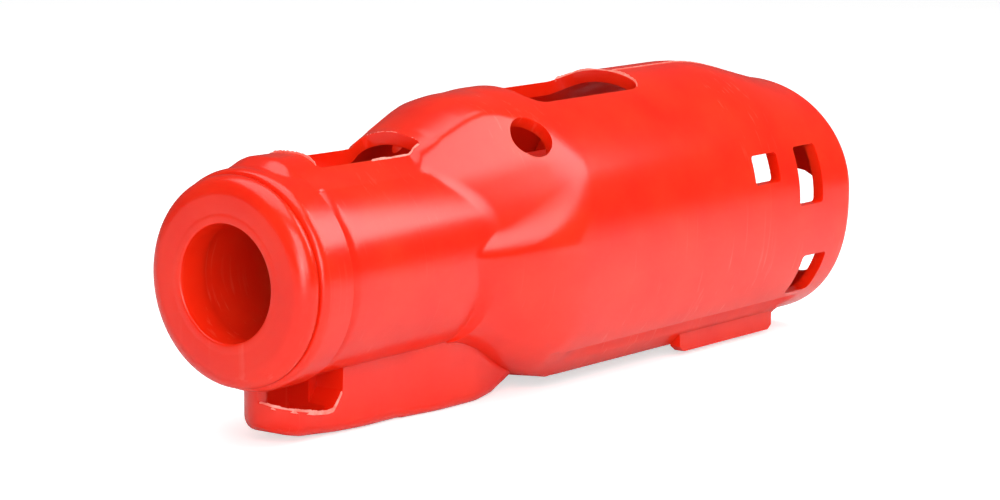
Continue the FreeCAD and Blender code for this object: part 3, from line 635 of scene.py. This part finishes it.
# %% Windows, slots and the open rear
cutters = [
    prism("neck_slot", rounded_outline((22, -8.7), (57.8, 8.7), 1.2), "z", 15, 60),
    prism("top_window", rounded_outline((95, -13.5), (140, 13.5), 5), "z", 15, 60),
    prism("underside", rounded_outline((98, -13.5), (195, 13.5), 5), "z", -45, -20),
    prism("rear_slot", rounded_outline((-23, -23.4), (23, 4.6), 8), "x", 198, 220),
    tube_cutter("rear_notch", (209, 0, 0), (1, 0, 0), 15.5, 22),
]
for sign in (-1, 1):
    low, high = sorted((sign * 15, sign * 45))
    windows = [((165, 6), (176.5, 13.5)), ((185, -1.5), (196, 13.8)), ((190, -26), (201, -15.4))]
    cutters += [prism("window", rounded_outline(a, b, 1), "y", low, high) for a, b in windows]
    cutters.append(tube_cutter("eye", (84.6, sign * 19, 25.4), (0, sign * 19, 25), 5.0, 24))
    cutters.append(tube_cutter("eye", (85.6, sign * 19, 23.8), (0, sign * 19, 25), 5.0, 24))
combine(shell, cutters, "DIFFERENCE")
print("with its openings:", len(shell.data.polygons), "faces")

# %% [markdown]
# Flat-shaded quads would show as small mirrors, so the shell is shaded smooth, except along its
# real edges. Then it takes the place of the casing from the engineering model and rides on the
# casing's body when the joints move.

# %% Shade the shell and hand it to its body


def shade(piece, degrees=32):
    """Smooth shading, with edges sharper than an angle left crisp."""
    for face in piece.data.polygons:
        face.use_smooth = True
    piece.data.set_sharp_from_angle(angle=math.radians(degrees))


shade(shell)
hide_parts("casing")
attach(shell, "casing")
print("casing shell rides on the casing")

# %% [markdown]
# ## Flash and parting line
#
# Where two halves of the mould met, a little plastic crept between them and set as a thin ragged
# fin, called flash. It is far thinner than the wall, so light shines through it and it looks
# almost white. Each fin follows an edge as a strip of short quads whose height wanders, and a
# hair's thickness makes it a solid. The parting line itself is the same thing, only lower.

# %% One fin of flash
FIN_THICKNESS = 0.22
FIN_ROOT = 0.5  # how far a fin reaches down into the wall
HIGHEST = 35.88  # no fin stands above the highest point of the casing

def fin(name, path, lean, high, seed, step=0.45):
    """A ragged thin strip on a path. lean is the way it stands up, high its two heights in mm."""
    path = np.asarray(path, float)
    spans = np.linalg.norm(np.diff(path, axis=0), axis=1)
    along = np.concatenate([[0], np.cumsum(spans)])
    count = max(6, int(along[-1] / step))
    at = np.linspace(0, along[-1], count)
    middle = np.stack([np.interp(at, along, path[:, k]) for k in range(3)], 1)
    chance = np.random.default_rng(seed)
    slow = np.interp(at, np.linspace(0, along[-1], 9), chance.random(9))
    height = high[0] + (high[1] - high[0]) * (0.6 * slow + 0.4 * chance.random(count))
    height[0] = height[-1] = high[0] * 0.5
    up = np.asarray(lean, float)
    up = up / np.linalg.norm(up)
    forward = np.gradient(middle, axis=0)
    across = np.cross(forward, up)
    across = across / np.linalg.norm(across, axis=1)[:, None] * FIN_THICKNESS / 2
    foot = middle - up * FIN_ROOT
    tip = middle + up * height[:, None] + across * (chance.random((count, 1)) - 0.5)
    tip[:, 2] = np.minimum(tip[:, 2], HIGHEST)
    points = np.concatenate([foot - across, foot + across, tip + across * 0.6, tip - across * 0.6])
    faces = []
    for i in range(count - 1):
        for a, b in ((0, 1), (1, 2), (2, 3), (3, 0)):
            faces.append((a * count + i, b * count + i, b * count + i + 1, a * count + i + 1))
    faces += [(0, 3 * count, 2 * count, count),
              (count - 1, 2 * count - 1, 3 * count - 1, 4 * count - 1)]
    piece = mesh_piece(name, points, faces)
    tidy_normals(piece)
    return piece

# %% [markdown]
# A fin needs to know where the edge lies. For the windows on top, the edge is drawn in plan and
# then laid on the casing's outside, which is found by a few rounds of trial and correction.

# %% Edges that carry flash
WINDOW_HALF, WINDOW_REAR, WINDOW_CORNER = 13.5, 140.0, 5
SLOT_FRONT, SLOT_REAR, SLOT_SIDE = 21.8, 58.2, -8.8
SEAM_SIDE = -2.0


def on_top(x, y):
    """Height of the casing's top surface at a point of the plan."""
    z = 30.0
    for _ in range(12):
        angle = math.atan2(y, z)
        z = float(outside(np.array([float(x)]), np.array([angle]))[0]) * math.cos(angle)
    return z


def window_end(y):
    """The rear edge of the top window, with its rounded corners."""
    past = max(0, abs(y) - (WINDOW_HALF - WINDOW_CORNER))
    return WINDOW_REAR + 0.3 - (WINDOW_CORNER - math.sqrt(max(0, WINDOW_CORNER ** 2 - past ** 2)))


rear_edge = [(window_end(y), y) for y in np.linspace(-12.8, 12.8, 40)]
side_edge = [(x, -WINDOW_HALF - 0.1) for x in np.linspace(101, 134, 26)]
slot_front = [(SLOT_FRONT, y) for y in np.linspace(-8, 8, 20)]
slot_rear = [(SLOT_REAR, y) for y in np.linspace(-8, 8, 20)]
slot_side = [(x, SLOT_SIDE) for x in np.linspace(40, 57, 16)]
rim = [(10.0, -0.8, -28.2), (10.9, -4.1, -29.0), (14.4, -7.3, -30.0), (20.3, -8.1, -31.3),
       (24.5, -8.3, -31.8), (26.4, -8.4, -31.6), (27.4, -8.4, -30.6), (29.4, -8.5, -27.8)]
seam = [(x, SEAM_SIDE, on_top(x, SEAM_SIDE)) for x in np.linspace(142, 203, 50)]
print("top surface at the window's rear:", round(on_top(WINDOW_REAR, 0.0), 1), "mm above the axis")

# %% [markdown]
# Each fin has its own lean, its least and greatest height and its own seed, so no two are alike
# and every run of the lesson gives the same ones.

# %% The seven fins


def laid(plan, sink=0.0):
    """Points of the plan, laid on the casing or a little below its surface."""
    return [(x, y, on_top(x, y) - sink) for x, y in plan]


flash = [
    fin("flash_window_rear", laid(rear_edge), (0.3, 0, 1), (0.25, 0.9), 3),
    fin("flash_window_side", laid(side_edge, 2.6), (0, 0.8, 1), (0.15, 0.6), 4),
    fin("flash_slot_front", laid(slot_front), (-0.2, 0, 1), (0.2, 0.9), 5),
    fin("flash_slot_rear", laid(slot_rear, 0.6), (-0.6, 0, 1), (0.2, 0.9), 6),
    fin("flash_slot_side", laid(slot_side), (0, 0.3, 1), (0.15, 0.5), 7),
    fin("flash_keel_rim", rim, (0.1, 0.25, 1), (0.2, 0.8), 8),
    fin("parting_line", seam, (0, 0, 1), (0.10, 0.22), 9),
]
for strip in flash:
    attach(strip, "casing")
print("fins of flash:", len(flash))

# %% [markdown]
# ## The twist nose
#
# The nose is a turned shape, so it is drawn as a half outline and spun. Its outer edge is a
# large soft round, the edge of its bore is a small one, and its face has a hair-fine ring.

# %% Nose ring
NOSE_LENGTH, NOSE_BORE, NOSE_SKIRT = 8.0, 13.4, 16.4
BORE_ROUND = 0.5
RIM_LENGTH, RIM_CENTRE, RIM_HEIGHT = 3.9, 19.6, 4.4

def spun(name, outline, sides=160):
    """A closed turned piece from an outline of (x, radius) corners."""
    count = len(outline)
    points, faces = [], []
    for i in range(sides):
        turn = 2 * math.pi * i / sides
        points += [(x, r * math.sin(turn), r * math.cos(turn)) for x, r in outline]
    for i in range(sides):
        a, b = i * count, ((i + 1) % sides) * count
        for k in range(count):
            n = (k + 1) % count
            faces.append((a + k, a + n, b + n, b + k))
    piece = mesh_piece(name, points, faces)
    tidy_normals(piece)
    return piece


def arc(x, radius, size, start, end, count=7):
    """Points of a quarter round about a centre; 0 degrees is rearwards and 90 outwards."""
    turns = [math.radians(start + (end - start) * i / count) for i in range(count + 1)]
    return [(x + size * math.cos(t), radius + size * math.sin(t)) for t in turns]


nose_outline = [(NOSE_LENGTH, NOSE_BORE), (BORE_ROUND, NOSE_BORE)]
nose_outline += arc(BORE_ROUND, NOSE_BORE + BORE_ROUND, BORE_ROUND, 270, 180, 3)[1:]
nose_outline += [(0.0, 15.4), (0.05, 15.7), (0.0, 16.0), (0.05, 18.0)]
nose_outline += [(RIM_LENGTH - RIM_LENGTH * math.cos(math.radians(turn)),
                  RIM_CENTRE + RIM_HEIGHT * math.sin(math.radians(turn))) for turn in range(0, 91, 7)]
nose_outline += [(4.3, 23.9), (4.7, 23.5), (4.7, NOSE_SKIRT), (NOSE_LENGTH, NOSE_SKIRT)]
nose = spun("nose_shell", nose_outline)
print("nose ring:", len(nose.data.polygons), "faces")
shade(nose, 40)
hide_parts("nose_ring")
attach(nose, "nose")

# %% [markdown]
# ## Finishes
#
# Each finish is a small set of shader nodes. A moulded plastic is never one flat colour: its
# tone drifts where the melt flowed, its gloss is broken by fine scuffs, and its skin has slow
# waves. The helper below makes a material with a drifting colour, a patchy roughness and a fine
# bump, and each finish chooses its own scales.

# %% A helper for finishes


def finish(name, light, dark, rough, grain, bump, metal=0.0, stretch=(1, 1, 1), patches=60.0):
    """A material whose colour and roughness drift between two values, with a fine bump."""
    made = bpy.data.materials.new(name)
    made.use_nodes = True
    nodes, links = made.node_tree.nodes, made.node_tree.links
    shader = nodes["Principled BSDF"]
    shader.inputs["Metallic"].default_value = metal
    where = nodes.new("ShaderNodeTexCoord")
    mapping = nodes.new("ShaderNodeMapping")
    mapping.inputs["Scale"].default_value = stretch
    links.new(where.outputs["Object"], mapping.inputs["Vector"])
    cloud = nodes.new("ShaderNodeTexNoise")
    cloud.inputs["Scale"].default_value = patches
    cloud.inputs["Detail"].default_value = 4
    links.new(mapping.outputs["Vector"], cloud.inputs["Vector"])
    colour = nodes.new("ShaderNodeValToRGB")
    colour.color_ramp.elements[0].position = 0.3
    colour.color_ramp.elements[0].color = (*dark, 1)
    colour.color_ramp.elements[1].position = 0.7
    colour.color_ramp.elements[1].color = (*light, 1)
    links.new(cloud.outputs["Fac"], colour.inputs["Fac"])
    links.new(colour.outputs["Color"], shader.inputs["Base Color"])
    fine = nodes.new("ShaderNodeTexNoise")
    fine.inputs["Scale"].default_value = grain
    fine.inputs["Detail"].default_value = 5
    links.new(mapping.outputs["Vector"], fine.inputs["Vector"])
    gloss = nodes.new("ShaderNodeMapRange")
    gloss.inputs["To Min"].default_value = rough[0]
    gloss.inputs["To Max"].default_value = rough[1]
    links.new(fine.outputs["Fac"], gloss.inputs["Value"])
    links.new(gloss.outputs["Result"], shader.inputs["Roughness"])
    relief = nodes.new("ShaderNodeBump")
    relief.inputs["Strength"].default_value = bump
    relief.inputs["Distance"].default_value = 0.0002
    links.new(fine.outputs["Fac"], relief.inputs["Height"])
    links.new(relief.outputs["Normal"], shader.inputs["Normal"])
    return made

# %% [markdown]
# The casing has been handled, so fine pale scuffs lie along it. They come from a noise that is
# squeezed across and drawn out along the casing, and a second, slow noise says where it is worn.
# A little light also goes under the skin of soft plastic, which subsurface scattering gives.

# %% Scuffs on the casing's red
SCUFF_SPACE = (900, 260, 22)
SCUFF_STRENGTH = 0.35
SCUFF_COLOUR = (1.0, 0.16, 0.10, 1)
LINE_RANGE, PATCH_RANGE = (0.62, 0.74), (0.5, 0.68)


def noise_between(material, vector, scale, detail, span):
    """A noise texture, spread so that the span of its values runs from 0 to 1."""
    nodes, links = material.node_tree.nodes, material.node_tree.links
    noise = nodes.new("ShaderNodeTexNoise")
    noise.inputs["Scale"].default_value = scale
    noise.inputs["Detail"].default_value = detail
    links.new(vector, noise.inputs["Vector"])
    spread = nodes.new("ShaderNodeMapRange")
    spread.inputs["From Min"].default_value = span[0]
    spread.inputs["From Max"].default_value = span[1]
    links.new(noise.outputs["Fac"], spread.inputs["Value"])
    return spread.outputs["Result"]


def product(material, first, second):
    """A node that multiplies a socket by another socket or by a number."""
    node = material.node_tree.nodes.new("ShaderNodeMath")
    node.operation = "MULTIPLY"
    material.node_tree.links.new(first, node.inputs[0])
    if isinstance(second, float):
        node.inputs[1].default_value = second
    else:
        material.node_tree.links.new(second, node.inputs[1])
    return node.outputs[0]


def add_scuffs(material):
    """Mix pale scuffs into a finish's own colour."""
    nodes, links = material.node_tree.nodes, material.node_tree.links
    place_on = nodes.new("ShaderNodeTexCoord").outputs["Object"]
    drawn_out = nodes.new("ShaderNodeMapping")
    drawn_out.inputs["Scale"].default_value = SCUFF_SPACE
    links.new(place_on, drawn_out.inputs["Vector"])
    thin_lines = noise_between(material, drawn_out.outputs["Vector"], 1.0, 3, LINE_RANGE)
    patches = noise_between(material, place_on, 28.0, 2, PATCH_RANGE)
    faint = product(material, product(material, thin_lines, patches), SCUFF_STRENGTH)
    mix = nodes.new("ShaderNodeMix")
    mix.data_type = "RGBA"
    colour_in = {socket.identifier: socket for socket in mix.inputs}
    colour_out = {socket.identifier: socket for socket in mix.outputs}
    colour_in["B_Color"].default_value = SCUFF_COLOUR
    links.new(faint, colour_in["Factor_Float"])
    base_colour = nodes["Principled BSDF"].inputs["Base Color"]
    links.new(base_colour.links[0].from_socket, colour_in["A_Color"])
    links.new(colour_out["Result_Color"], base_colour)


casing_red = finish("casing_red", (0.90, 0.026, 0.005), (0.82, 0.014, 0.002), (0.16, 0.30), 900.0, 0.05)
add_scuffs(casing_red)
skin = casing_red.node_tree.nodes["Principled BSDF"]
skin.inputs["Subsurface Weight"].default_value = 0.4
skin.inputs["Subsurface Radius"].default_value = (1.0, 0.2, 0.1)
skin.inputs["Subsurface Scale"].default_value = 0.005
skin.inputs["IOR"].default_value = 1.5
print("casing_red has", len(casing_red.node_tree.nodes), "nodes")

# %% [markdown]
# The other pieces get plainer finishes. Anodised aluminium and brass are turned parts, so their
# grain is stretched round or along them. The fins of flash get a paler red: painted light that
# stands in for the light shining through the thin plastic.

# %% The other finishes
trigger_red = finish("trigger_red", (0.55, 0.02, 0.01), (0.45, 0.012, 0.008), (0.25, 0.4), 700.0, 0.08)
red_anodised = finish("red_anodised", (0.80, 0.024, 0.010), (0.66, 0.014, 0.006), (0.32, 0.46),
                      1500.0, 0.15, 0.35, (0.15, 1, 1))
brass = finish("brass", (0.80, 0.58, 0.26), (0.66, 0.44, 0.17), (0.22, 0.42),
               1800.0, 0.2, 1.0, (1, 0.1, 0.1))
bright_steel = finish("bright_steel", (0.74, 0.74, 0.75), (0.56, 0.56, 0.58), (0.2, 0.38),
                      1800.0, 0.2, 1.0)
seal_rubber = finish("seal_rubber", (0.035, 0.035, 0.036), (0.015, 0.015, 0.015), (0.55, 0.75),
                     2500.0, 0.3)
# Pale red painted on the flash fins, in place of the light that shines through the thin plastic.
lit_through_red = finish("lit_through_red", (1.0, 0.40, 0.33), (0.95, 0.16, 0.11), (0.3, 0.5),
                  2200.0, 0.2, patches=700.0)
print("last finish made:", lit_through_red.name)

# %% [markdown]
# The record of the engineering model names a slot for each piece, and the finish of that name
# goes on it. The new shell, nose and fins are dressed last.

# %% Dress the pieces
finishes = {"casing_red": casing_red, "trigger_red": trigger_red, "red_anodised": red_anodised,
            "brass": brass, "bright_steel": bright_steel, "seal_rubber": seal_rubber}


def dress(piece, material):
    piece.data.materials.clear()
    piece.data.materials.append(material)


for part in frame["record"]["subparts"]:
    dress(frame["nodes"][part["node"]], finishes[part["material_slot"]])
for piece in [shell, nose] + flash:
    dress(piece, lit_through_red if piece in flash else casing_red)

# %% [markdown]
# ## The studio
#
# The object stands on a very large white floor. The floor also glows a little, but only for rays
# that come straight from the camera: it looks white in the picture, adds no light to the object,
# and still takes its shadow.

# %% Floor
FLOOR_LEVEL, FLOOR_REACH = -38, 20000
FLOOR_GLOW = 0.62
corners = [(-FLOOR_REACH, -FLOOR_REACH), (FLOOR_REACH, -FLOOR_REACH), (FLOOR_REACH, FLOOR_REACH),
           (-FLOOR_REACH, FLOOR_REACH)]
floor = mesh_piece("floor", [(x, y, FLOOR_LEVEL) for x, y in corners], [(0, 1, 2, 3)])
floor_white = bpy.data.materials.new("floor_white")
floor_white.use_nodes = True
nodes, links = floor_white.node_tree.nodes, floor_white.node_tree.links
base = nodes["Principled BSDF"]
base.inputs["Base Color"].default_value = (0.85, 0.85, 0.85, 1)
base.inputs["Roughness"].default_value = 0.9
glow = nodes.new("ShaderNodeEmission")
ray = nodes.new("ShaderNodeLightPath")
level = nodes.new("ShaderNodeMath")
level.operation = "MULTIPLY"
level.inputs[1].default_value = FLOOR_GLOW
links.new(ray.outputs["Is Camera Ray"], level.inputs[0])
links.new(level.outputs[0], glow.inputs["Strength"])
both = nodes.new("ShaderNodeAddShader")
links.new(base.outputs[0], both.inputs[0])
links.new(glow.outputs[0], both.inputs[1])
links.new(both.outputs[0], nodes["Material Output"].inputs["Surface"])
floor.data.materials.append(floor_white)
floor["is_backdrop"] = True
print("floor:", 2 * FLOOR_REACH / 1000, "m wide")

# %% [markdown]
# Four soft lamps light it. The key stands near the rear, above the body, and gives it the long
# bright band. A large one overhead and a large one behind the camera's shoulder fill the
# shadows, and a small one in front looks into the bore. The world adds a low even light.

# %% Lamps and world
WORLD_LIGHT = 0.13


def soft_lamp(name, position, target, width, height, power):
    """A rectangular lamp in metres and watts that faces a target."""
    lamp = bpy.data.lights.new(name, "AREA")
    lamp.shape = "RECTANGLE"
    lamp.size, lamp.size_y = width, height
    lamp.energy = power
    holder = bpy.data.objects.new(name, lamp)
    holder.location = position
    holder.rotation_mode = "QUATERNION"
    holder.rotation_quaternion = (Vector(target) - Vector(position)).to_track_quat("-Z", "Y")
    bpy.context.scene.collection.objects.link(holder)
    return holder


soft_lamp("key", spot(222, -185, 195), spot(60, -10, 15), 0.17, 0.18, 0.42)
soft_lamp("top", spot(0, 100, 1300), spot(100, 0, 0), 1.4, 1.4, 14.0)
soft_lamp("fill", spot(-750, -1050, 650), spot(80, 0, 0), 1.0, 1.0, 13.0)
soft_lamp("bore_light", spot(-620, -430, 60), spot(30, 0, 0), 0.35, 0.35, 1.5)

world = bpy.data.worlds.new("studio")
world.use_nodes = True
bpy.context.scene.world = world
background = world.node_tree.nodes["Background"]
background.inputs["Color"].default_value = (1, 1, 1, 1)
background.inputs["Strength"].default_value = WORLD_LIGHT
print("lamps:", len(bpy.data.lights))

# %% [markdown]
# The camera looks at the nose from the front and one side, a little from above, through a long
# lens that keeps the rear of the body from looking small.

# %% Camera
camera_data = bpy.data.cameras.new("camera")
camera_data.lens = 115.2
camera_data.sensor_width = 36
camera = bpy.data.objects.new("camera", camera_data)
camera.location = spot(-510.3, -473.8, 120.1)
camera.rotation_mode = "QUATERNION"
camera.rotation_quaternion = Vector((0.779, 0.606, -0.160)).to_track_quat("-Z", "Y")
bpy.context.scene.collection.objects.link(camera)
bpy.context.scene.camera = camera
bpy.context.scene.view_settings.view_transform = "Standard"
print("camera lens:", round(camera_data.lens, 1), "mm")

# %% [markdown]
# Last, the box of everything visible is measured and printed.

# %% The box of everything visible
low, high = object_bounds()
print("visual box:", [round(v, 4) for v in low], [round(v, 4) for v in high])
